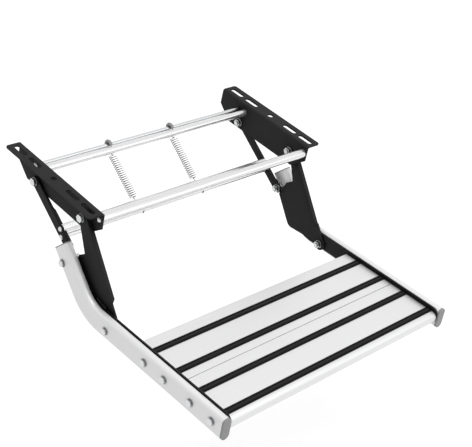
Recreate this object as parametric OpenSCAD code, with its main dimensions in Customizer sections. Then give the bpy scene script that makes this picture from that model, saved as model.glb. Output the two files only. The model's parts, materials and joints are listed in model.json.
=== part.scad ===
/* [Mounting brackets] */
// Clear width between the webs of the two brackets
bracket_gap = 485; // [400:5:600]
// Thickness of the folded steel sheet of brackets, links and side plates
sheet = 3; // [2:0.5:4]
// Width of a bracket's top flange
flange_w = 33; // [31:1:40]
// Length of the flange ahead of its centre hole
flange_front = 122; // [119:1:140]
// Length of the flange behind its centre hole
flange_rear = 122.5; // [119:0.5:140]
// Outer radius of the fold between flange and web
fold_r = 5; // [4.5:0.5:7]
// Corner radius of the flange's free edge
flange_corner_r = 5; // [3:1:10]
// Depth of the web at its two ends
web_end_h = 32; // [30:1:38]
// Depth of the web between the sloping ends
web_mid_h = 58; // [56:1:62]
// Length of each sloping end of the web
web_slope = 31; // [24:1:36]
// Distance of the line of slots from the web's inner face
slot_line = 16.5; // [14:0.5:18]
// Width of the mounting slots
slot_w = 10.5; // [6.5:0.5:11]
// Overall length of the mounting slots
slot_l = 34; // [20:1:36]
// Distance of the inner slots from the centre hole
slot_near = 55; // [45:1:60]
// Distance of the outer slots from the centre hole
slot_far = 98; // [95:1:100]
// Diameter of the centre hole
centre_hole_d = 11.5; // [6.5:0.5:12]

/* [Pivots] */
// Distance of the front upper pivot ahead of the centre hole
front_pivot_y = 80.3; // [76:0.1:82]
// Distance of the front upper pivot below the flange top
front_pivot_z = 31.1; // [30:0.1:34]
// Distance of the rear upper pivot behind the centre hole
rear_pivot_y = 61.3; // [58:0.1:64]
// Distance of the rear upper pivot below the flange top
rear_pivot_z = 44.8; // [43:0.1:46]
// Length of the front link between its pivots
front_link_l = 191.7; // [180:0.1:205]
// Lean of the front link from upright
front_lean = 39.3; // [36:0.1:42]
// Length of the rear link between its pivots
rear_link_l = 154.5; // [148:0.1:160]
// Lean of the rear link from upright
rear_lean = 58.25; // [55:0.05:61]
// Rearward tilt of the tread
tread_pitch = 3.36; // [0:0.02:5]
// Running clearance round a pivot bolt
pivot_play = 0.05; // [0.03:0.01:0.1]
// Side play between a link and its washers
side_play = 0.2; // [0.1:0.05:0.4]
// Free gap between the rear and the front link
link_gap = 1.2; // [0.8:0.1:3]

/* [Links] */
// Distance of the front link's leading edge from its pivot line
front_link_edge = 12; // [10:0.5:14]
// Radius of the front link round its upper pivot
front_link_top_r = 12; // [10:0.5:14]
// Radius of the front link round its lower pivot
front_link_foot_r = 13; // [11:0.5:15]
// Width of the front link's neck behind the upper pivot
neck_top_w = 8.9; // [6:0.1:10]
// Width of the front link's neck where the belly starts
neck_foot_w = 24.2; // [20:0.2:28]
// Distance from the upper pivot to the front link's belly
belly_start = 61; // [56:1:66]
// Length of the slope that cuts the belly's upper corner
belly_slope = 18; // [14:1:20]
// Reach of the belly behind the pivot line
belly_w = 72; // [64:1:72]
// Distance from the lower pivot to the belly's lower corner
belly_end = 53.7; // [50:0.1:58]
// Radius of the belly's lower corner
belly_corner_r = 16; // [10:1:18]
// Angle between the pivot line and the belly's edge above the lower pivot
belly_fall = 58; // [56:1:61]
// Clearance between the belly and the spacer of the rear lower pivot
belly_clear = 1; // [0.6:0.1:1.3]
// Width of the front links' stiffening flanges, over the sheet
front_flange_w = 8.5; // [7:0.1:8.7]
// Distance of the front link's flange from its upper pivot
front_flange_start = 20; // [18:1:60]
// Distance of the front link's flange from its lower pivot
front_flange_end = 40; // [36:1:60]
// Width of the rear link
rear_link_w = 19; // [18:0.5:21]
// Distance from the rear link's pivot line to its rear edge
rear_link_back = 10.5; // [9.5:0.5:10.5]
// Width of the rear links' stiffening flanges, over the sheet
rear_flange_w = 6.5; // [5:0.5:8]
// Width of the rear links' flanges beside the brackets
rear_flange_slim = 4.5; // [3.5:0.1:4.6]
// Distance of the rear link's flange from its upper pivot
rear_flange_start = 18; // [16:1:40]
// Distance from the upper pivot to the flange's full width
rear_flange_full = 64; // [62:1:74]
// Distance of the rear link's flange from its lower pivot
rear_flange_end = 16; // [12:1:30]
// Length over which the links' flanges run out
flange_taper = 6; // [3:1:10]

/* [Cross tubes] */
// Diameter of the front cross tube
front_tube_d = 17; // [14:0.5:18]
// Distance of the front cross tube ahead of the centre hole
front_tube_y = 113; // [110:1:114]
// Distance of the tube centres below the flange top
tube_z = 18; // [17:0.5:20]
// Diameter of the rear cross tube
rear_tube_d = 13; // [10:0.5:15]
// Distance of the rear cross tube behind the centre hole
rear_tube_y = 53; // [50:0.5:53.5]
// Diameter of the spring bar
spring_bar_d = 8; // [7:0.5:11]
// Distance of the spring bar behind the centre hole
spring_bar_y = 71; // [69:0.5:73]
// Distance of the spring bar below the flange top
spring_bar_z = 18.8; // [14:0.1:21]
// Diameter of the tube between the rear links
link_tube_d = 17; // [15:0.5:18]
// Distance of the link tube from the rear link's upper pivot
link_tube_pos = 97; // [94:0.1:98]
// Distance of the link tube ahead of the pivot line
link_tube_fore = 2.7; // [2:0.1:3.5]
// Diameter of the rod that takes the springs
link_rod_d = 8.5; // [7:0.5:9]
// Distance of the rod from the rear link's upper pivot
link_rod_pos = 108.8; // [108:0.1:114]
// Distance of the rod behind the pivot line
link_rod_back = 6.8; // [6:0.1:7]
// Wall of the aluminium tubes
tube_wall = 1.5; // [1:0.1:2.5]
// Length of the threaded inserts in the tube ends
insert_l = 16; // [14:1:30]
// Fitting clearance round inserts, plugs and shanks
fit = 0.05; // [0.03:0.01:0.1]

/* [Side rails] */
// Height of the rail section
rail_h = 41; // [38:0.5:44]
// Thickness of the rail section
rail_t = 16.5; // [15.5:0.5:20]
// Radius of the rail section's long edges
rail_edge_r = 7.6; // [4:0.1:7.6]
// Wall of the rail tube
rail_wall = 2; // [1.5:0.1:3]
// Height of the rail's middle over the front lower pivot
rail_mid = 2.75; // [0:0.25:4]
// Distance of the rails' front ends behind the tread's nose
nose_set = 1.1; // [0.5:0.1:4]
// Radius of the bend, at the middle of the rail
rail_bend_r = 80; // [70:1:90]
// Angle through which the rail rises
rail_rise = 46; // [43:1:50]
// Distance of the rear pivot below the middle of the rising arm
arm_offset = 11; // [6:0.5:12]
// Length of the arm beyond the rear pivot
arm_over = 28; // [20:1:34]
// Thickness of the front end caps
front_cap_t = 4; // [3:0.5:6]
// Thickness of the upper end caps
top_cap_t = 2; // [1.5:0.5:4]
// Length of the caps' plugs inside the rail
cap_plug_l = 9; // [6:1:10]
// Height of the side plates over the tread surface
plate_lip = 7.8; // [5:0.2:8.5]
// Depth of the side plates below the front lower pivot
plate_drop = 9.5; // [8.5:0.5:14]
// Reach of the side plates past the rail's inner edge at the bend
plate_past = 4; // [2:0.5:9]
// Angle of the bend that the side plates follow
plate_sweep = 26; // [20:1:34]

/* [Tread] */
// Height of the tread surface over the front lower pivot
tread_top = 14.2; // [13:0.2:15]
// Distance of the tread's rear edge ahead of the lower pivot
tread_rear = 66.2; // [64:0.2:72]
// Depth of the rear plank
rear_plank_w = 114; // [110:1:120]
// Depth of the front plank
front_plank_w = 110; // [106:1:116]
// Gap between the two planks
seam = 0.4; // [0.2:0.1:1]
// Thickness of the planks
plank_h = 22; // [21.5:0.5:24]
// Wall of the planks
plank_wall = 2.2; // [1.8:0.1:2.6]
// Radius of the planks' other long edges
plank_edge_r = 1.2; // [0.6:0.1:1.5]
// Nose radius of the front plank
nose_r = 9; // [7:0.5:10]
// Width of the grip strips
strip_w = 13; // [11:0.5:14]
// Height of the grip strips over the tread
strip_lip = 0.8; // [0.4:0.1:1.5]
// Depth of the grip strips' grooves
groove = 1.6; // [1.2:0.1:1.8]
// Distance of a plank's rear strip from its rear edge
strip_rear = 32; // [30:0.5:34]
// Distance between the two strips of a plank
strip_pitch = 59; // [58:0.5:60]
// Distance of a plank's rear bolt from its rear edge
bolt_rear = 36.4; // [34:0.2:38]
// Distance between the two bolts of a plank
bolt_pitch = 50; // [47:0.5:52]
// Radius of the screw ports in the planks
port_r = 6.6; // [6.2:0.1:7]

/* [Fasteners] */
// Diameter of the pivot and tread bolts
bolt_d = 8; // [6:0.5:8]
// Width across the flats of bolt heads and nuts
hex_af = 13; // [11:0.5:13]
// Height of the bolt heads
head_h = 5; // [4:0.5:6]
// Height of the nuts
nut_h = 6.5; // [5:0.5:8]
// Outer diameter of the washers
washer_d = 16; // [15:0.5:17]
// Thickness of the washers
washer_t = 1.6; // [1:0.1:2]
// Width across the flats of the bolt heads on the rails
rail_head_af = 11; // [10:0.5:13]
// Height of the bolt heads on the rails
rail_head_h = 3.4; // [3:0.2:6]
// Outer diameter of the washers on the rails
rail_washer_d = 14.5; // [14:0.5:17]
// Thickness of the washers on the rails
rail_washer_t = 1; // [0.8:0.1:2]
// Outer diameter of the spacers
spacer_d = 12; // [11:0.5:13]
// Thickness of the thin washers beside the front links
thin_washer_t = 0.8; // [0.5:0.1:1.5]
// Length of the tread bolts inside the planks
tread_bolt_grip = 18; // [10:1:30]
// Thread length that shows beyond a nut
thread_past = 2.5; // [1:0.5:4]
// Diameter of the tube screws
screw_d = 5; // [4:0.5:5]
// Head diameter of the tube screws
screw_head_d = 9.5; // [8:0.5:10]
// Head height of the tube screws
screw_head_h = 2.8; // [2:0.2:3.4]
// Length of the tube screws below the head
screw_l = 16; // [12:1:18]

/* [Springs] */
// Distance of the left spring's top from the middle of the step
left_spring_x = 86; // [70:0.5:150]
// Distance of the right spring's top from the middle of the step
right_spring_x = 61; // [50:0.5:150]
// Sideways run of each spring from top to foot
spring_shift = 17; // [0:0.5:20]
// Outer diameter of the spring coils
coil_d = 15.6; // [12:0.2:16]
// Diameter of the spring wire
wire_d = 1.2; // [1:0.1:1.6]
// Distance from the spring bar to the top of the coils
coil_start = 20; // [18:1:30]
// Length of the coiled part
coil_l = 86; // [70:1:86]
// Gap between a hook and the bar inside it
hook_gap = 0.3; // [0.2:0.1:0.5]
// Angle that a hook reaches round its bar
hook_sweep = 170; // [150:5:200]

/* [Hidden] */
$fn = 48;

steel_black = "#3a3a3a";
aluminium = "#e4e4e4";
zinc = "#c8c8c8";
plastic_grey = "#8f8f8f";
rubber_black = "#262626";

// Length by which a cut passes the face it starts from
past = 1;
bolt_r = bolt_d / 2;
hole_r = bolt_r + pivot_play;
screw_hole_r = screw_d / 2 + fit;

// Faces of the sheet pieces, from the middle of the step outward
web_in = bracket_gap / 2;
web_out = web_in + sheet;
rear_link_in = web_out + washer_t + side_play;
rear_link_out = rear_link_in + sheet;
front_link_in = rear_link_out + link_gap;
front_link_out = front_link_in + sheet;
plate_in = front_link_out + side_play + thin_washer_t;
plate_out = plate_in + sheet;
rail_out = plate_out + rail_t;
rail_mid_x = plate_out + rail_t / 2;

// Points in the side view are [distance to the rear, height]
function turned(p, a) = [p[0] * cos(a) - p[1] * sin(a), p[0] * sin(a) + p[1] * cos(a)];
function along(p, lean, down, back) = p + turned([down, back], -90 - lean);

upper_front = [-front_pivot_y, -front_pivot_z];
upper_rear = [rear_pivot_y, -rear_pivot_z];
lower_front = along(upper_front, front_lean, front_link_l, 0);
lower_rear = along(upper_rear, rear_lean, rear_link_l, 0);
front_tube = [-front_tube_y, -tube_z];
rear_tube = [rear_tube_y, -tube_z];
spring_bar_at = [spring_bar_y, -spring_bar_z];
link_tube_at = along(upper_rear, rear_lean, link_tube_pos, -link_tube_fore);
link_rod_at = along(upper_rear, rear_lean, link_rod_pos, link_rod_back);

// The rear pivot seen from the rail, and the bend that leads the arm past it
rail_rear = turned(lower_rear - lower_front, tread_pitch);
bend_z = rail_mid + rail_bend_r;
bend_y = (cos(rail_rise) * (bend_z - rail_rear[1]) - rail_bend_r - arm_offset) / sin(rail_rise)
    + rail_rear[0];
arm_l = (rail_rear[0] - bend_y) * cos(rail_rise) + (rail_rear[1] - bend_z) * sin(rail_rise)
    + arm_over;

front_plank_rear = -tread_rear - rear_plank_w - seam;
strip_y = [
    -tread_rear - strip_rear,
    -tread_rear - strip_rear - strip_pitch,
    front_plank_rear - strip_rear,
    front_plank_rear - strip_rear - strip_pitch
];
tread_bolt_y = [
    -tread_rear - bolt_rear,
    -tread_rear - bolt_rear - bolt_pitch,
    front_plank_rear - bolt_rear,
    front_plank_rear - bolt_rear - bolt_pitch
];
tread_bolt_z = tread_top - groove - plank_wall - port_r + past / 2;
tread_nose = front_plank_rear - front_plank_w;
rail_front = -tread_nose - nose_set;

// The spacer of the rear lower pivot, seen from the front link
belly_pivot = turned(lower_rear - upper_front, 90 + front_lean);

// The springs hook round the bar and the rod and pass behind the tubes
hook_top_r = spring_bar_d / 2 + hook_gap + wire_d / 2;
hook_foot_r = link_rod_d / 2 + hook_gap + wire_d / 2;
spring_run = link_rod_at - spring_bar_at;
spring_reach = norm(spring_run);
spring_turn = atan2(spring_run[1], spring_run[0]) - asin((hook_top_r - hook_foot_r) / spring_reach);
spring_straight = sqrt(pow(spring_reach, 2) - pow(hook_top_r - hook_foot_r, 2));
spring_slant = atan2(spring_shift, spring_straight);

// Places 2D side-view shapes with their extrusion running outward from x
module outward(x, p = [0, 0]) {
    translate([x, p[0], p[1]]) rotate([90, 0, 90]) children();
}

module both_sides() {
    children();
    mirror([1, 0, 0]) children();
}

module in_rail() {
    translate([0, lower_front[0], lower_front[1]]) rotate([-tread_pitch, 0, 0]) children();
}

module rod(x, l, r, p = [0, 0]) {
    outward(x, p) cylinder(h = l, r = r);
}

module ring(x, l, outer_r, inner_r, p = [0, 0]) {
    outward(x, p) difference() {
        cylinder(h = l, r = outer_r);
        translate([0, 0, -past]) cylinder(h = l + 2 * past, r = inner_r);
    }
}

module washer(x, t = washer_t, p = [0, 0]) {
    ring(x, t, washer_d / 2, bolt_r + fit, p);
}

module rail_washer(p = [0, 0]) {
    ring(rail_out, rail_washer_t, rail_washer_d / 2, bolt_r + fit, p);
}

module nut(x, p = [0, 0]) {
    outward(x, p) difference() {
        cylinder(h = nut_h, d = hex_af / cos(30), $fn = 6);
        translate([0, 0, -past]) cylinder(h = nut_h + 2 * past, r = bolt_r + fit);
    }
}

// Hex head seated at x with its shank running inward
module bolt(x, l, p = [0, 0]) {
    outward(x, p) cylinder(h = head_h, d = hex_af / cos(30), $fn = 6);
    rod(x - l, l, bolt_r, p);
}

// Low bolt on a rail washer, with its shank running in to inner_end
module rail_bolt(inner_end, p = [0, 0]) {
    seat = rail_out + rail_washer_t;
    outward(seat, p) cylinder(h = rail_head_h, d = rail_head_af / cos(30), $fn = 6);
    rod(inner_end, seat - inner_end, bolt_r, p);
}

// Button screw seated at x with its shank running inward
module button_screw(x, p) {
    head_sphere_r = (pow(screw_head_d / 2, 2) + pow(screw_head_h, 2)) / (2 * screw_head_h);
    outward(x, p) intersection() {
        cylinder(h = screw_head_h, d = screw_head_d);
        translate([0, 0, screw_head_h - head_sphere_r]) sphere(head_sphere_r);
    }
    rod(x - screw_l, screw_l, screw_d / 2, p);
}

module rounded(w, h, r) {
    square([w - 2 * r, h], center = true);
    square([w, h - 2 * r], center = true);
    for (x = [-1, 1], y = [-1, 1]) translate([x * (w / 2 - r), y * (h / 2 - r)]) circle(r);
}

module slot_shape(l, w) {
    square([w, l - w], center = true);
    for (y = [-1, 1]) translate([0, y * (l - w) / 2]) circle(d = w);
}

// Brackets

module fold_profile() {
    translate([web_in + fold_r, -sheet]) square([flange_w - fold_r, sheet]);
    translate([web_in, -web_mid_h]) square([sheet, web_mid_h - fold_r]);
    translate([web_in + fold_r, -fold_r]) intersection() {
        difference() {
            circle(fold_r);
            circle(fold_r - sheet);
        }
        translate([-fold_r, 0]) square(fold_r);
    }
}

module web_outline() {
    polygon([
        [-flange_front, past],
        [-flange_front, -web_end_h],
        [-flange_front + web_slope, -web_mid_h],
        [flange_rear - web_slope, -web_mid_h],
        [flange_rear, -web_end_h],
        [flange_rear, past]
    ]);
}

module flange_outline() {
    translate([web_in - flange_w, -flange_front]) translate([flange_w, (flange_front + flange_rear) / 2])
        rounded(2 * flange_w, flange_front + flange_rear, flange_corner_r);
}

module bracket() {
    difference() {
        intersection() {
            translate([0, flange_rear, 0]) rotate([90, 0, 0])
                linear_extrude(flange_front + flange_rear) fold_profile();
            outward(web_in - past) linear_extrude(flange_w + 2 * past) web_outline();
            translate([0, 0, -web_mid_h - past]) linear_extrude(web_mid_h + 2 * past) flange_outline();
        }
        for (y = [-slot_far, -slot_near, slot_near, slot_far])
            translate([web_in + slot_line, y, -sheet - past])
                linear_extrude(sheet + 2 * past) slot_shape(slot_l, slot_w);
        translate([web_in + slot_line, 0, -sheet - past])
            cylinder(h = sheet + 2 * past, d = centre_hole_d);
        for (p = [upper_front, upper_rear]) rod(web_in - past, sheet + 2 * past, bolt_r + fit, p);
        for (p = [front_tube, rear_tube, spring_bar_at])
            rod(web_in - past, sheet + 2 * past, screw_hole_r, p);
    }
}

module left_bracket() {
    color(steel_black) mirror([1, 0, 0]) bracket();
}

module right_bracket() {
    color(steel_black) bracket();
}

// Cross tubes

module tube(half_l, d, p) {
    color(aluminium) ring(-half_l, 2 * half_l, d / 2, d / 2 - tube_wall, p);
}

// A slim bar is solid, with a threaded hole in each end
module bar(half_l, d, p) {
    color(aluminium) difference() {
        rod(-half_l, 2 * half_l, d / 2, p);
        both_sides() rod(half_l - screw_l, screw_l + past, screw_hole_r, p);
    }
}

module insert(half_l, d, p) {
    ring(half_l - insert_l, insert_l, d / 2 - tube_wall - fit, screw_hole_r, p);
}

module front_cross_tube() {
    tube(web_in, front_tube_d, front_tube);
}

module rear_cross_tube() {
    tube(web_in, rear_tube_d, rear_tube);
}

module spring_bar() {
    bar(web_in, spring_bar_d, spring_bar_at);
}

module cross_tube_inserts() {
    color(zinc) both_sides() {
        insert(web_in, front_tube_d, front_tube);
        insert(web_in, rear_tube_d, rear_tube);
    }
}

module cross_tube_screws() {
    color(zinc) both_sides() for (p = [front_tube, rear_tube, spring_bar_at]) button_screw(web_out, p);
}

// Upper pivots

module upper_pivot_bolts() {
    inner_end = web_in - washer_t - nut_h - thread_past;
    front_seat = front_link_out + side_play + washer_t;
    rear_seat = rear_link_out + side_play + washer_t;
    color(zinc) both_sides() {
        bolt(front_seat, front_seat - inner_end, upper_front);
        bolt(rear_seat, rear_seat - inner_end, upper_rear);
    }
}

module upper_pivot_washers() {
    color(zinc) both_sides() {
        washer(front_link_out + side_play, washer_t, upper_front);
        washer(rear_link_out + side_play, washer_t, upper_rear);
        washer(web_out, washer_t, upper_rear);
        for (p = [upper_front, upper_rear]) washer(web_in - washer_t, washer_t, p);
    }
}

module upper_pivot_nuts() {
    color(zinc) both_sides() for (p = [upper_front, upper_rear]) nut(web_in - washer_t - nut_h, p);
}

module upper_pivot_spacers() {
    color(zinc) both_sides()
        ring(web_out, front_link_in - side_play - web_out, spacer_d / 2, bolt_r + fit, upper_front);
}

// Front links, drawn from the upper pivot: first number down the link, second number to its rear

module front_link_outline() {
    corner = [front_link_l - belly_end, belly_w - belly_corner_r];
    fall_from = corner + belly_corner_r * [sin(belly_fall), cos(belly_fall)];
    fall_to = front_link_foot_r / 2;
    circle(front_link_top_r);
    translate([front_link_l, 0]) circle(front_link_foot_r);
    translate(corner) circle(belly_corner_r);
    polygon([
        [0, -front_link_edge],
        [front_link_l, -front_link_edge],
        [front_link_l, fall_to],
        [fall_from[0] + (fall_from[1] - fall_to) / tan(belly_fall), fall_to],
        fall_from,
        corner,
        [corner[0], belly_w],
        [belly_start + belly_slope, belly_w],
        [belly_start, neck_foot_w + belly_slope],
        [belly_start, neck_foot_w],
        [0, neck_top_w]
    ]);
}

// Flange folded inward along a link's leading edge, from its corner points [down the link, outward]
module link_flange(edge, points) {
    translate([0, sheet - edge, 0]) rotate([90, 0, 0]) linear_extrude(sheet) polygon(points);
}

// What the fold takes off the outer corner of the leading edge
module fold_cut(edge, from, to) {
    translate([from, -edge, 0]) rotate([90, 0, 90]) linear_extrude(to - from) difference() {
        translate([-past, 0]) square([sheet + past, sheet + past]);
        translate([sheet, 0]) circle(sheet);
    }
}

module front_link() {
    from = front_flange_start;
    to = front_link_l - front_flange_end;
    outward(front_link_in, upper_front) rotate([0, 0, -90 - front_lean]) difference() {
        union() {
            linear_extrude(sheet) front_link_outline();
            link_flange(front_link_edge, [
                [from, sheet / 2],
                [from, 0],
                [from + flange_taper, sheet - front_flange_w],
                [to - flange_taper, sheet - front_flange_w],
                [to, 0],
                [to, sheet / 2]
            ]);
        }
        for (u = [0, front_link_l]) translate([u, 0, -past]) cylinder(h = sheet + 2 * past, r = hole_r);
        translate([belly_pivot[0], belly_pivot[1], -past])
            cylinder(h = sheet + 2 * past, r = spacer_d / 2 + belly_clear);
        fold_cut(front_link_edge, from, to);
    }
}

module left_front_link() {
    color(steel_black) mirror([1, 0, 0]) front_link();
}

module right_front_link() {
    color(steel_black) front_link();
}

// Rear links, drawn from the upper pivot in the same way

module rear_link() {
    end_r = rear_link_w / 2;
    mid = rear_link_back - end_r;
    edge = end_r - mid;
    from = rear_flange_start;
    to = rear_link_l - rear_flange_end;
    outward(rear_link_in, upper_rear) rotate([0, 0, -90 - rear_lean]) difference() {
        union() {
            linear_extrude(sheet) {
                translate([0, -edge]) square([rear_link_l, rear_link_w]);
                for (u = [0, rear_link_l]) translate([u, mid]) circle(end_r);
            }
            difference() {
                link_flange(edge, [
                    [from, sheet / 2],
                    [from, 0],
                    [from + flange_taper, sheet - rear_flange_slim],
                    [rear_flange_full - flange_taper, sheet - rear_flange_slim],
                    [rear_flange_full, sheet - rear_flange_w],
                    [to - flange_taper, sheet - rear_flange_w],
                    [to, 0],
                    [to, sheet / 2]
                ]);
                translate([link_tube_pos, -link_tube_fore, -sheet - rear_flange_w])
                    cylinder(h = sheet + rear_flange_w, r = link_tube_d / 2 + side_play);
            }
        }
        for (u = [0, rear_link_l]) translate([u, 0, -past]) cylinder(h = sheet + 2 * past, r = hole_r);
        for (p = [[link_tube_pos, -link_tube_fore], [link_rod_pos, link_rod_back]])
            translate([p[0], p[1], -past]) cylinder(h = sheet + 2 * past, r = screw_hole_r);
        fold_cut(edge, from, to);
    }
}

module left_rear_link() {
    color(steel_black) mirror([1, 0, 0]) rear_link();
}

module right_rear_link() {
    color(steel_black) rear_link();
}

module link_tube() {
    tube(rear_link_in, link_tube_d, link_tube_at);
}

module link_rod() {
    bar(rear_link_in, link_rod_d, link_rod_at);
}

module link_tube_inserts() {
    color(zinc) both_sides() insert(rear_link_in, link_tube_d, link_tube_at);
}

module link_tube_screws() {
    color(zinc) both_sides() for (p = [link_tube_at, link_rod_at]) button_screw(rear_link_out, p);
}

// Lower rear pivot: the nut side stays with the link, the head side with the rail

module rear_lower_nuts() {
    color(zinc) both_sides() {
        nut(rear_link_in - washer_t - nut_h, lower_rear);
        rod(rear_link_in - washer_t - nut_h - thread_past, rear_link_out - rear_link_in + washer_t
            + nut_h + thread_past, bolt_r, lower_rear);
    }
}

module rear_lower_washers() {
    color(zinc) both_sides() washer(rear_link_in - washer_t, washer_t, lower_rear);
}

module rear_lower_bolts() {
    inner_end = rear_link_out + side_play;
    color(zinc) both_sides() in_rail() {
        rail_bolt(inner_end, rail_rear);
        rail_washer(rail_rear);
    }
}

module rear_lower_spacers() {
    inner_end = rear_link_out + side_play;
    color(zinc) both_sides() in_rail()
        ring(inner_end, plate_out - inner_end, spacer_d / 2, bolt_r + fit, rail_rear);
}

// Side rails

module rail_core(shrink, extra) {
    h = rail_h - 2 * shrink;
    t = rail_t - 2 * shrink;
    r = rail_edge_r - min(shrink, rail_edge_r / 2);
    translate([rail_mid_x, bend_y, rail_mid]) rotate([90, 0, 0])
        linear_extrude(rail_front + bend_y + extra) rounded(t, h, r);
    translate([rail_mid_x, bend_y, bend_z]) {
        rotate([0, 90, 0]) rotate_extrude(angle = rail_rise, $fn = 96)
            translate([rail_bend_r, 0]) rounded(h, t, r);
        rotate([rail_rise, 0, 0]) translate([0, 0, -rail_bend_r]) rotate([-90, 0, 0])
            linear_extrude(arm_l + extra) rounded(t, h, r);
    }
}

module rail() {
    in_rail() difference() {
        rail_core(0, 0);
        rail_core(rail_wall, past);
        rod(plate_out - past, rail_t + 2 * past, bolt_r + fit);
        rod(plate_out - past, rail_t + 2 * past, bolt_r + fit, rail_rear);
        for (y = tread_bolt_y) rod(plate_out - past, rail_t + 2 * past, bolt_r + fit, [y, tread_bolt_z]);
    }
}

module left_rail() {
    color(aluminium) mirror([1, 0, 0]) rail();
}

module right_rail() {
    color(aluminium) rail();
}

module cap(t) {
    plug = rail_wall + fit;
    linear_extrude(t) slot_shape(rail_h, rail_t);
    translate([0, 0, -cap_plug_l]) linear_extrude(cap_plug_l)
        rounded(rail_t - 2 * plug, rail_h - 2 * plug, rail_edge_r - plug);
}

module rail_front_caps() {
    color(plastic_grey) both_sides() in_rail()
        translate([rail_mid_x, -rail_front, rail_mid]) rotate([90, 0, 0]) cap(front_cap_t);
}

module rail_top_caps() {
    color(plastic_grey) both_sides() in_rail() translate([rail_mid_x, bend_y, bend_z])
        rotate([rail_rise, 0, 0]) translate([0, arm_l, -rail_bend_r]) rotate([-90, 0, 0])
            cap(top_cap_t);
}

// Side plates

module side_plate_outline() {
    plate_top = tread_top + plate_lip;
    plate_h = plate_top + plate_drop;
    front_r = nose_r + plate_lip / 2;
    translate([tread_nose, -plate_drop]) {
        translate([front_r, 0]) square([bend_y - tread_nose - front_r, plate_h]);
        translate([0, front_r]) square([front_r, plate_h - 2 * front_r]);
        for (z = [front_r, plate_h - front_r]) translate([front_r, z]) circle(front_r);
    }
    translate([bend_y, bend_z]) intersection() {
        difference() {
            circle(bend_z + plate_drop, $fn = 96);
            circle(rail_bend_r - rail_h / 2 - plate_past, $fn = 96);
        }
        polygon([
            [0, 0],
            [0, -2 * rail_bend_r],
            2 * rail_bend_r * [tan(plate_sweep), -1]
        ]);
    }
}

module side_plate() {
    in_rail() difference() {
        outward(plate_in) linear_extrude(sheet) side_plate_outline();
        rod(plate_in - past, sheet + 2 * past, bolt_r + fit);
        for (y = tread_bolt_y) rod(plate_in - past, sheet + 2 * past, bolt_r + fit, [y, tread_bolt_z]);
    }
}

module left_side_plate() {
    color(steel_black) mirror([1, 0, 0]) side_plate();
}

module right_side_plate() {
    color(steel_black) side_plate();
}

// Tread planks, drawn from the rear edge forward at the tread surface

module plank_outer(depth, r) {
    translate([-depth, -plank_h]) {
        translate([r, 0]) square([depth - r - plank_edge_r, plank_h]);
        translate([0, r]) square([r, plank_h - 2 * r]);
        translate([depth - plank_edge_r, plank_edge_r]) square([plank_edge_r, plank_h - 2 * plank_edge_r]);
        for (z = [r, plank_h - r]) translate([r, z]) circle(r);
        for (z = [plank_edge_r, plank_h - plank_edge_r])
            translate([depth - plank_edge_r, z]) circle(plank_edge_r);
    }
}

module plank_profile(depth, r) {
    port_z = tread_bolt_z - tread_top;
    ports = [-bolt_rear, -bolt_rear - bolt_pitch];
    edges = [-plank_wall, ports[0], ports[1], -depth + r];
    chamber_top = -groove - plank_wall;
    chamber_h = plank_h - groove - 2 * plank_wall;
    difference() {
        plank_outer(depth, r);
        for (i = [0:2]) {
            from = i == 0 ? edges[0] : edges[i] - plank_wall / 2;
            to = i == 2 ? edges[3] : edges[i + 1] + plank_wall / 2;
            difference() {
                translate([to, chamber_top - chamber_h]) square([from - to, chamber_h]);
                for (y = ports) translate([y, port_z]) circle(port_r);
            }
        }
        for (y = ports) translate([y, port_z]) circle(bolt_r + fit);
        for (y = [-strip_rear, -strip_rear - strip_pitch])
            translate([y - strip_w / 2, -groove]) square([strip_w, groove + past]);
    }
}

module plank(y, depth, r) {
    color(aluminium) in_rail() outward(-plate_in, [y, tread_top])
        linear_extrude(2 * plate_in) plank_profile(depth, r);
}

module rear_tread_plank() {
    plank(-tread_rear, rear_plank_w, plank_edge_r);
}

module front_tread_plank() {
    plank(front_plank_rear, front_plank_w, nose_r);
}

module grip_strip(i) {
    color(rubber_black) in_rail()
        outward(-plate_in + fit, [strip_y[i] - strip_w / 2 + fit, tread_top - groove])
            linear_extrude(2 * (plate_in - fit)) square([strip_w - 2 * fit, groove + strip_lip]);
}

module grip_strip_1() {
    grip_strip(0);
}

module grip_strip_2() {
    grip_strip(1);
}

module grip_strip_3() {
    grip_strip(2);
}

module grip_strip_4() {
    grip_strip(3);
}

module tread_bolts() {
    color(zinc) both_sides() in_rail() for (y = tread_bolt_y)
        rail_bolt(plate_in - tread_bolt_grip, [y, tread_bolt_z]);
}

module tread_washers() {
    color(zinc) both_sides() in_rail() for (y = tread_bolt_y) rail_washer([y, tread_bolt_z]);
}

// Front lower pivots

module front_lower_bolts() {
    color(zinc) both_sides() in_rail()
        rail_bolt(front_link_in - side_play - washer_t - nut_h - thread_past);
}

module front_lower_washers() {
    color(zinc) both_sides() in_rail() {
        rail_washer();
        washer(plate_in - thin_washer_t, thin_washer_t);
        washer(front_link_in - side_play - washer_t);
    }
}

module front_lower_nuts() {
    color(zinc) both_sides() in_rail() nut(front_link_in - side_play - washer_t - nut_h);
}

// Springs, drawn from the spring bar down to the rod

module hook(r, from, sweep) {
    rotate([0, 0, from]) rotate_extrude(angle = sweep) translate([r, 0]) circle(wire_d / 2, $fn = 16);
}

module spring(x) {
    outward(x, spring_bar_at) rotate([0, 0, spring_turn]) {
        hook(hook_top_r, 90, hook_sweep);
        translate([0, hook_top_r, 0]) rotate([0, 90 - spring_slant, 0]) {
            translate([0, 0, -wire_d / 2])
                cylinder(h = spring_straight / cos(spring_slant) + wire_d, r = wire_d / 2, $fn = 16);
            translate([0, 0, coil_start]) cylinder(h = coil_l, r = coil_d / 2);
        }
        translate([spring_straight, hook_top_r - hook_foot_r, spring_shift])
            hook(hook_foot_r, 90, -hook_sweep);
    }
}

module left_spring() {
    color(zinc) spring(-left_spring_x);
}

module right_spring() {
    color(zinc) spring(right_spring_x);
}

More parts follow.
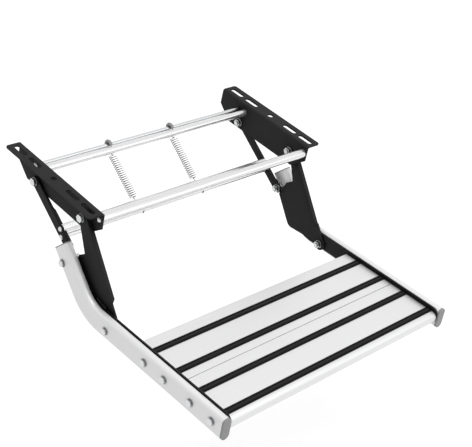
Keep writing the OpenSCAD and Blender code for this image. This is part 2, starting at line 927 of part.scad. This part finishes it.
left_bracket();
right_bracket();
front_cross_tube();
rear_cross_tube();
spring_bar();
cross_tube_inserts();
cross_tube_screws();
upper_pivot_bolts();
upper_pivot_washers();
upper_pivot_nuts();
upper_pivot_spacers();
left_front_link();
right_front_link();
left_rear_link();
right_rear_link();
link_tube();
link_rod();
link_tube_inserts();
link_tube_screws();
rear_lower_nuts();
rear_lower_washers();
left_rail();
right_rail();
rail_front_caps();
rail_top_caps();
left_side_plate();
right_side_plate();
rear_tread_plank();
front_tread_plank();
grip_strip_1();
grip_strip_2();
grip_strip_3();
grip_strip_4();
tread_bolts();
tread_washers();
front_lower_bolts();
front_lower_washers();
front_lower_nuts();
rear_lower_bolts();
rear_lower_spacers();
left_spring();
right_spring();
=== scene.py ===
import json
import math
import bpy
from mathutils import Matrix, Vector


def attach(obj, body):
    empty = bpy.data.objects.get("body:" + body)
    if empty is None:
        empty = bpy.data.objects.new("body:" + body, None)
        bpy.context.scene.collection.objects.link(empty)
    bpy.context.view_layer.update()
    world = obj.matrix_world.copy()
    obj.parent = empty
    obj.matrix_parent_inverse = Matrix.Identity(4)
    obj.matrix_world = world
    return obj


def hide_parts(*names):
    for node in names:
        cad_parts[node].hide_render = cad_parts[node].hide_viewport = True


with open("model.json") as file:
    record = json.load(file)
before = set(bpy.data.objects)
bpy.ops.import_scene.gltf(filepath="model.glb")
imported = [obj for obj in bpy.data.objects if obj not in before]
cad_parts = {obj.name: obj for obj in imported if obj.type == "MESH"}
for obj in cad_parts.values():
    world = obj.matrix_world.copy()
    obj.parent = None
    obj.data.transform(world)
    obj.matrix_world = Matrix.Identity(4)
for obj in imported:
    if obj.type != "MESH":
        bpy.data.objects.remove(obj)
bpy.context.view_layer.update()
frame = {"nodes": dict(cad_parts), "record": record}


def hexColour(text):    # sRGB hex to linear RGBA
    parts = [int(text[i:i + 2], 16) / 255 for i in (1, 3, 5)]
    return [c / 12.92 if c <= 0.04045 else ((c + 0.055) / 1.055) ** 2.4 for c in parts] + [1.0]


def addNode(tree, kind, settings=None, links=None):    # links: input name or number -> output socket
    made = tree.nodes.new(kind)
    for key, value in (settings or {}).items():
        if isinstance(key, int) or key in made.inputs:
            made.inputs[key].default_value = value
        else:
            setattr(made, key, value)
    for key, source in (links or {}).items():
        tree.links.new(source, made.inputs[key])
    return made


# Camera: stands in front of the left rail and looks down on the step
camera = {
    "azimuth": -49.144, "elevation": 33.687, "roll": 12.770,    # degrees
    "distance": 2.01740, "aim": (0.0, -0.16490, -0.06922), "clipEnd": 50,    # metres
    "sensor": 36, "lens": 86.296, "shift": (0.0275, -0.0025),
}


def makeCamera(c):
    azimuth, elevation, roll = (math.radians(c[k]) for k in ("azimuth", "elevation", "roll"))
    back = Vector((math.sin(azimuth) * math.cos(elevation), -math.cos(azimuth) * math.cos(elevation),
                   math.sin(elevation)))
    level = Vector((0, 0, 1)).cross(back).normalized()
    steep = back.cross(level)
    right = math.cos(roll) * level + math.sin(roll) * steep
    up = math.cos(roll) * steep - math.sin(roll) * level
    data = bpy.data.cameras.new("stepCamera")
    data.sensor_width = c["sensor"]
    data.lens = c["lens"]
    data.shift_x, data.shift_y = c["shift"]
    data.clip_end = c["clipEnd"]
    made = bpy.data.objects.new("stepCamera", data)
    place = Matrix((right, up, back)).transposed().to_4x4()
    place.translation = Vector(c["aim"]) + back * c["distance"]
    made.matrix_world = place
    bpy.context.collection.objects.link(made)
    bpy.context.scene.camera = made


makeCamera(camera)
print("camera set")

# Lamps and backdrop
studio = {
    "sky": 0.52,    # world strength on the object; the camera and reflections see white
    "keyPower": 26.0, "keySize": 1.6, "keyAt": (0.1, -0.5, 2.5),
    "fillPower": 6.0, "fillSize": 1.6, "fillAt": (1.2, -1.9, 1.3),
    "lampAim": (0, -0.12, -0.1),
    "floorZ": -0.46, "floorSize": 14.0, "floorColour": "#ececec", "floorGlow": 0.5,
}
white = hexColour("#ffffff")


def makeLamp(lamp, s):
    data = bpy.data.lights.new(f"{lamp}Lamp", "AREA")
    data.energy = s[f"{lamp}Power"]
    data.size = s[f"{lamp}Size"]
    made = bpy.data.objects.new(f"{lamp}Lamp", data)
    made.location = s[f"{lamp}At"]
    towards = Vector(s["lampAim"]) - Vector(s[f"{lamp}At"])
    made.rotation_euler = towards.to_track_quat("-Z", "Y").to_euler()
    bpy.context.collection.objects.link(made)


def backdropRays(tree):    # 1 for rays of the camera, of reflections and through glass, 0 for the rest
    path = addNode(tree, "ShaderNodeLightPath")
    seen = path.outputs["Is Camera Ray"]
    for ray in ("Is Glossy Ray", "Is Transmission Ray"):
        seen = addNode(tree, "ShaderNodeMath", {"operation": "MAXIMUM"},
                       {0: seen, 1: path.outputs[ray]}).outputs[0]
    return seen


def makeWorld(s):
    world = bpy.data.worlds.new("studioWorld")
    bpy.context.scene.world = world
    world.use_nodes = True
    tree = world.node_tree
    tree.nodes.clear()
    level = addNode(tree, "ShaderNodeMapRange", {"To Min": s["sky"], "To Max": 1.0},
                    {"Value": backdropRays(tree)})
    sky = addNode(tree, "ShaderNodeBackground", {"Color": white}, {"Strength": level.outputs[0]})
    addNode(tree, "ShaderNodeOutputWorld", None, {"Surface": sky.outputs[0]})


def whitePaper(s):
    # Matt white paper, which glows a little for the camera and so fades into the backdrop
    made = bpy.data.materials.new("whitePaper")
    made.use_nodes = True
    tree = made.node_tree
    tree.nodes.clear()
    glowLevel = addNode(tree, "ShaderNodeMath", {"operation": "MULTIPLY", 1: s["floorGlow"]},
                        {0: backdropRays(tree)})
    matt = addNode(tree, "ShaderNodeBsdfDiffuse", {"Color": hexColour(s["floorColour"])})
    glow = addNode(tree, "ShaderNodeEmission", {"Color": white}, {"Strength": glowLevel.outputs[0]})
    both = addNode(tree, "ShaderNodeAddShader", None, {0: matt.outputs[0], 1: glow.outputs[0]})
    addNode(tree, "ShaderNodeOutputMaterial", None, {"Surface": both.outputs[0]})
    return made


def makeFloor(s):
    half = s["floorSize"] / 2
    corners = ((-half, -half), (half, -half), (half, half), (-half, half))
    mesh = bpy.data.meshes.new("paperFloor")
    mesh.from_pydata([(x, y, s["floorZ"]) for x, y in corners], [], [(0, 1, 2, 3)])
    mesh.materials.append(whitePaper(s))
    floor = bpy.data.objects.new("paperFloor", mesh)
    bpy.context.collection.objects.link(floor)


bpy.context.scene.view_settings.view_transform = "Standard"
makeWorld(studio)
makeLamp("key", studio)
makeLamp("fill", studio)
makeFloor(studio)
print("studio set")

# Materials. Colour and roughness drift from their plain value to the dull one. Sizes with Mm are in mm.
# A seam is where another surface comes within seamMm. There the colour holds painted shade: it is
# darkened down to seamTone, and is darkest where the share of open view around a point falls to seamFull.
shadeSamples = 8
openView = 0.98    # share of open view above which a surface keeps its colour
# Painted highlight along the cut edges of the black sheet
highlightSamples = 6
highlightFrom, highlightTo = 0.93, 0.65    # cosine between the sheet's face and its edge as if rounded


def startMaterial(name):
    made = bpy.data.materials.new(name)
    made.use_nodes = True
    tree = made.node_tree
    return made, tree, tree.nodes["Principled BSDF"], addNode(tree, "ShaderNodeTexCoord").outputs["Object"]


def cellPattern(tree, where, sizes, detail):    # sizes of one cell along X, Y and Z in mm
    cells = addNode(tree, "ShaderNodeMapping", {"Scale": [1000 / v for v in sizes]}, {"Vector": where})
    return addNode(tree, "ShaderNodeTexNoise", {"Scale": 1.0, "Detail": detail},
                   {"Vector": cells.outputs[0]}).outputs["Fac"]


def varySurface(tree, skin, s, tonePattern, sheenPattern, reliefPattern=None):    # gives back the colour
    tone = addNode(tree, "ShaderNodeMix",
                   {"data_type": "RGBA", 6: hexColour(s["colour"]), 7: hexColour(s["dull"])},
                   {0: tonePattern})
    sheen = addNode(tree, "ShaderNodeMapRange", {"To Min": s["roughness"], "To Max": s["roughnessDull"]},
                    {"Value": sheenPattern})
    tree.links.new(sheen.outputs[0], skin.inputs["Roughness"])
    if reliefPattern:
        bump = addNode(tree, "ShaderNodeBump", {"Strength": s["relief"], "Distance": s["reliefMm"] / 1000},
                       {"Height": reliefPattern})
        tree.links.new(bump.outputs[0], skin.inputs["Normal"])
    return tone.outputs[2]


def seamShade(tree, colour, s):    # painted shade: a surface is painted darker where another one comes close, as if shade fell there
    near = addNode(tree, "ShaderNodeAmbientOcclusion",
                   {"samples": shadeSamples, "Distance": s["seamMm"] / 1000})
    share = addNode(tree, "ShaderNodeMapRange",
                    {"From Min": s["seamFull"], "From Max": openView, "To Min": s["seamTone"], "To Max": 1.0},
                    {"Value": near.outputs["AO"]})
    return addNode(tree, "ShaderNodeMix", {"data_type": "RGBA", "blend_type": "MULTIPLY", 0: 1.0},
                   {6: colour, 7: share.outputs[0]}).outputs[2]


def edgeHighlight(tree, colour, s):    # painted highlight: the cut edges of the sheet are painted paler, as if their rounding caught the light
    rounded = addNode(tree, "ShaderNodeBevel", {"samples": highlightSamples, "Radius": s["edgeMm"] / 1000})
    flat = addNode(tree, "ShaderNodeNewGeometry")
    alike = addNode(tree, "ShaderNodeVectorMath", {"operation": "DOT_PRODUCT"},
                    {0: rounded.outputs["Normal"], 1: flat.outputs["Normal"]})
    share = addNode(tree, "ShaderNodeMapRange",
                    {"From Min": highlightFrom, "From Max": highlightTo, "To Min": 0.0, "To Max": 1.0},
                    {"Value": alike.outputs["Value"]})
    return addNode(tree, "ShaderNodeMix", {"data_type": "RGBA", 7: hexColour(s["highlighted"])},
                   {0: share.outputs[0], 6: colour}).outputs[2]


blackCoat = {
    "colour": "#2d2d2e", "dull": "#363637", "specular": 0.05, "roughness": 0.46, "roughnessDull": 0.58,
    "cloudMm": 45, "peelMm": 1.6, "relief": 0.35, "reliefMm": 0.06,
    "seamMm": 60, "seamTone": 0.05, "seamFull": 0.42, "highlighted": "#3e3f41", "edgeMm": 1.2,
}


def powderCoatedSteel(s):
    # Sheet steel, laser cut and folded, with a baked powder coat: a soft broken sheen with fine orange peel
    made, tree, skin, where = startMaterial("powderCoatedSteel")
    skin.inputs["Specular IOR Level"].default_value = s["specular"]
    cloud = cellPattern(tree, where, [s["cloudMm"]] * 3, detail=3.0)
    peel = cellPattern(tree, where, [s["peelMm"]] * 3, detail=2.0)
    colour = varySurface(tree, skin, s, cloud, cloud, peel)
    # The coat's colour carries painted shade near other surfaces and a painted highlight along its cut edges
    tree.links.new(edgeHighlight(tree, seamShade(tree, colour, s), s), skin.inputs["Base Color"])
    return made


crossTubes = {    # drawn tube, lines run along X
    "colour": "#e9e9e9", "dull": "#dcdcdd", "metallic": 0.85, "roughness": 0.2, "roughnessDull": 0.3,
    "lineMm": (160, 1.5, 1.5), "cloudMm": 60, "lineShare": 0.6, "relief": 0.25, "reliefMm": 0.01,
    "seamMm": 3, "seamTone": 0.8, "seamFull": 0.3,
}
treadPlanks = {    # extrusion, lines run along X
    "colour": "#f0f0f0", "dull": "#e7e7e8", "metallic": 0.5, "roughness": 0.34, "roughnessDull": 0.48,
    "lineMm": (220, 2.4, 2.4), "cloudMm": 90, "lineShare": 0.7, "relief": 0.25, "reliefMm": 0.04,
    "seamMm": 5, "seamTone": 0.1, "seamFull": 0.3,
}
sideRails = {    # bent flat oval tube, lines run from front to back
    "colour": "#f8f8f8", "dull": "#f0f0f1", "metallic": 0.25, "roughness": 0.34, "roughnessDull": 0.46,
    "lineMm": (2.0, 150, 2.0), "cloudMm": 70, "lineShare": 0.6, "relief": 0.25, "reliefMm": 0.03,
    "seamMm": 2, "seamTone": 0.5, "seamFull": 0.3,
}


def anodisedAluminium(name, s):
    # Extruded aluminium, etched and clear anodised: bright and satin, with faint die lines along the
    # profile. Real lines are about 0.5 mm apart, and these are drawn coarser so that they show.
    made, tree, skin, where = startMaterial(name)
    skin.inputs["Metallic"].default_value = s["metallic"]
    lines = cellPattern(tree, where, s["lineMm"], detail=3.0)
    cloud = cellPattern(tree, where, [s["cloudMm"]] * 3, detail=2.0)
    mixed = addNode(tree, "ShaderNodeMix", {0: s["lineShare"]}, {2: cloud, 3: lines})
    colour = varySurface(tree, skin, s, mixed.outputs[0], lines, lines)
    tree.links.new(seamShade(tree, colour, s), skin.inputs["Base Color"])
    return made


zincPlate = {    # bolts, nuts and washers
    "colour": "#e2e3e4", "dull": "#b8b9ba", "roughness": 0.15, "roughnessDull": 0.3, "spangleMm": 1.1,
    "seamMm": 4, "seamTone": 0.05, "seamFull": 0.3,
}
drawnRods = {    # the spring bar, smoother than the bolts
    "colour": "#e0e1e2", "dull": "#c8c9ca", "roughness": 0.14, "roughnessDull": 0.26, "spangleMm": 2.5,
    "seamMm": 6, "seamTone": 0.05, "seamFull": 0.3,
}
springWire = {    # darker and duller, as wire is after winding
    "colour": "#7c7d7f", "dull": "#606163", "roughness": 0.3, "roughnessDull": 0.42, "spangleMm": 1.5,
    "seamMm": 2, "seamTone": 0.4, "seamFull": 0.3,
}


def platedSteel(name, s):
    # Steel, barrelled and zinc plated: bright, a little cloudy, with small handling marks
    made, tree, skin, where = startMaterial(name)
    skin.inputs["Metallic"].default_value = 1.0
    spangle = cellPattern(tree, where, [s["spangleMm"]] * 3, detail=3.0)
    colour = varySurface(tree, skin, s, spangle, spangle)
    tree.links.new(seamShade(tree, colour, s), skin.inputs["Base Color"])
    return made


endCaps = {    # polypropylene from a spark-eroded mould, whose fine, even grain is drawn coarser to show
    "colour": "#a6a6a7", "dull": "#98989a", "specular": 0.4, "roughness": 0.44, "roughnessDull": 0.56,
    "grainMm": 0.9, "relief": 0.6, "reliefMm": 0.08,
}
gripStrips = {    # rubber filled with grit, almost without sheen; the grit is drawn coarser to show
    "colour": "#0e0e0e", "dull": "#191919", "specular": 0.14, "roughness": 0.84, "roughnessDull": 0.96,
    "grainMm": 1.4, "relief": 0.6, "reliefMm": 0.4,
    "middleSheen": "#2e2e2e", "middleSheenHalf": 0.09, "middleSheenFade": 0.1,    # shares of the strip's width
}


def grainedSurface(name, s):
    # Moulded plastic or rubber: dull and even, with a fine grain
    made, tree, skin, where = startMaterial(name)
    skin.inputs["Specular IOR Level"].default_value = s["specular"]
    grain = cellPattern(tree, where, [s["grainMm"]] * 3, detail=4.0)
    colour = varySurface(tree, skin, s, grain, grain, grain)
    # Strips get a painted sheen along their raised middle
    if "middleSheen" in s:
        colour = paintedMiddleSheen(tree, colour, s)
    tree.links.new(colour, skin.inputs["Base Color"])
    return made


def paintedMiddleSheen(tree, colour, s):    # painted highlight: the raised middle of a strip is painted paler than its edges, as a sheen catching the light
    place = addNode(tree, "ShaderNodeTexCoord").outputs["Generated"]
    across = addNode(tree, "ShaderNodeSeparateXYZ", None, {0: place}).outputs["Y"]
    aside = addNode(tree, "ShaderNodeMath", {"operation": "SUBTRACT", 1: 0.5}, {0: across}).outputs[0]
    aside = addNode(tree, "ShaderNodeMath", {"operation": "ABSOLUTE"}, {0: aside}).outputs[0]
    share = addNode(tree, "ShaderNodeMapRange",
                    {"From Min": s["middleSheenHalf"] + s["middleSheenFade"], "From Max": s["middleSheenHalf"]},
                    {"Value": aside}).outputs[0]
    return addNode(tree, "ShaderNodeMix", {"data_type": "RGBA", 7: hexColour(s["middleSheen"])},
                   {0: share, 6: colour}).outputs[2]


tubeAluminium = anodisedAluminium("drawnAluminiumTube", crossTubes)
plankAluminium = anodisedAluminium("extrudedAluminiumPlank", treadPlanks)
railAluminium = anodisedAluminium("anodisedAluminiumRail", sideRails)
rodSteel = platedSteel("drawnSteelRod", drawnRods)
springSteel = platedSteel("springWire", springWire)
capPolypropylene = grainedSurface("mouldedPolypropylene", endCaps)    # the hook sleeves take it too

finishOf = {
    "black_steel": powderCoatedSteel(blackCoat), "aluminium": tubeAluminium,
    "zinc": platedSteel("brightZinc", zincPlate), "spring_steel": springSteel,
    "cap_plastic": capPolypropylene, "grip_rubber": grainedSurface("gritFilledRubber", gripStrips),
}
ownFinish = {    # nodes that differ from their slot's finish
    "left_rail": railAluminium, "right_rail": railAluminium, "spring_bar": rodSteel,
    "rear_tread_plank": plankAluminium, "front_tread_plank": plankAluminium,
}
slotOf = {part["node"]: part["material_slot"] for part in frame["record"]["subparts"]}

for node in frame["nodes"]:
    thing = bpy.data.objects[node]
    thing.data.materials.clear()
    thing.data.materials.append(ownFinish.get(node, finishOf[slotOf[node]]))
print("materials set")

# Springs: wound wire, hooked over the spring bar in a soft sleeve and round the link rod. In metres.
spring = {
    "bar": (0.071, -0.0188), "rod": (-0.02764, -0.107834),    # Y and Z of their middle lines
    "barRadius": 0.004, "rodRadius": 0.00425, "clearance": 0.0003,
    "wireRadius": 0.0006, "coilRadius": 0.0072, "coilStart": 0.018, "coilLength": 0.0885, "turns": 22,
    "leftX": -0.086, "rightX": 0.061, "shift": 0.017,    # the lower hook stands further to the right
    "sleeveRadius": 0.0032, "sleeveTip": 58, "sleeveRoot": 290, "bareTip": 5,    # degrees round the bar
    "rodHookRoot": 90, "rodHookTip": -80,                                        # degrees round the rod
    "pointsPerTurn": 14, "easePoints": 12, "barHookSteps": 24, "rodHookSteps": 20, "roundness": 2,
}


# A spring's points are (down, behind, aside): from the bar to the rod, square to that line, and along X
def arcPoints(radius, start, end, steps, down=0.0, aside=0.0):
    angles = [math.radians(start + (end - start) * i / steps) for i in range(steps + 1)]
    return [(down + radius * math.cos(a), radius * math.sin(a), aside) for a in angles]


def barHook(s, tip):    # arc over the bar, from the tip behind it to the root in front of it
    radius = s["barRadius"] + s["clearance"] + s["sleeveRadius"]
    return arcPoints(radius, tip, s["sleeveRoot"], s["barHookSteps"])


def springPath(s):
    run = (Vector(s["rod"]) - Vector(s["bar"])).length
    behind = s["rodRadius"] + s["clearance"] + s["wireRadius"]    # where the coils' middle line hangs
    points = barHook(s, s["sleeveTip"] - s["bareTip"])
    steps = s["turns"] * s["pointsPerTurn"]
    for i in range(steps + 1):
        turn = 2 * math.pi * s["turns"] * i / steps
        radius = s["coilRadius"] * min(1.0, i / s["easePoints"], (steps - i) / s["easePoints"])
        down = s["coilStart"] + s["coilLength"] * i / steps
        points.append((down, behind + radius * math.cos(turn),
                       s["shift"] * down / run + radius * math.sin(turn)))
    return points + arcPoints(behind, s["rodHookRoot"], s["rodHookTip"], s["rodHookSteps"], run, s["shift"])


def makeWire(name, points, radius, coat, x, s):
    bar = Vector(s["bar"])
    line = (Vector(s["rod"]) - bar).normalized()
    curve = bpy.data.curves.new(name, "CURVE")
    curve.dimensions = "3D"
    curve.bevel_depth = radius
    curve.bevel_resolution = s["roundness"]
    curve.use_fill_caps = True
    spline = curve.splines.new("POLY")
    spline.points.add(len(points) - 1)
    for point, (down, behind, aside) in zip(spline.points, points):
        y = bar.x + down * line.x - behind * line.y
        z = bar.y + down * line.y + behind * line.x
        point.co = (x + aside, y, z, 1)
    made = bpy.data.objects.new(name, curve)
    bpy.context.collection.objects.link(made)
    curve.materials.append(coat)
    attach(made, "springs")
    return made


def makeSpring(side, x, s):
    wound = makeWire(f"{side}SpringCoil", springPath(s), s["wireRadius"], springSteel, x, s)
    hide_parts(f"{side}_spring")
    makeWire(f"{side}HookSleeve", barHook(s, s["sleeveTip"]), s["sleeveRadius"], capPolypropylene,
             x, s)


for side in ("left", "right"):
    makeSpring(side, spring[f"{side}X"], spring)
print("springs made")
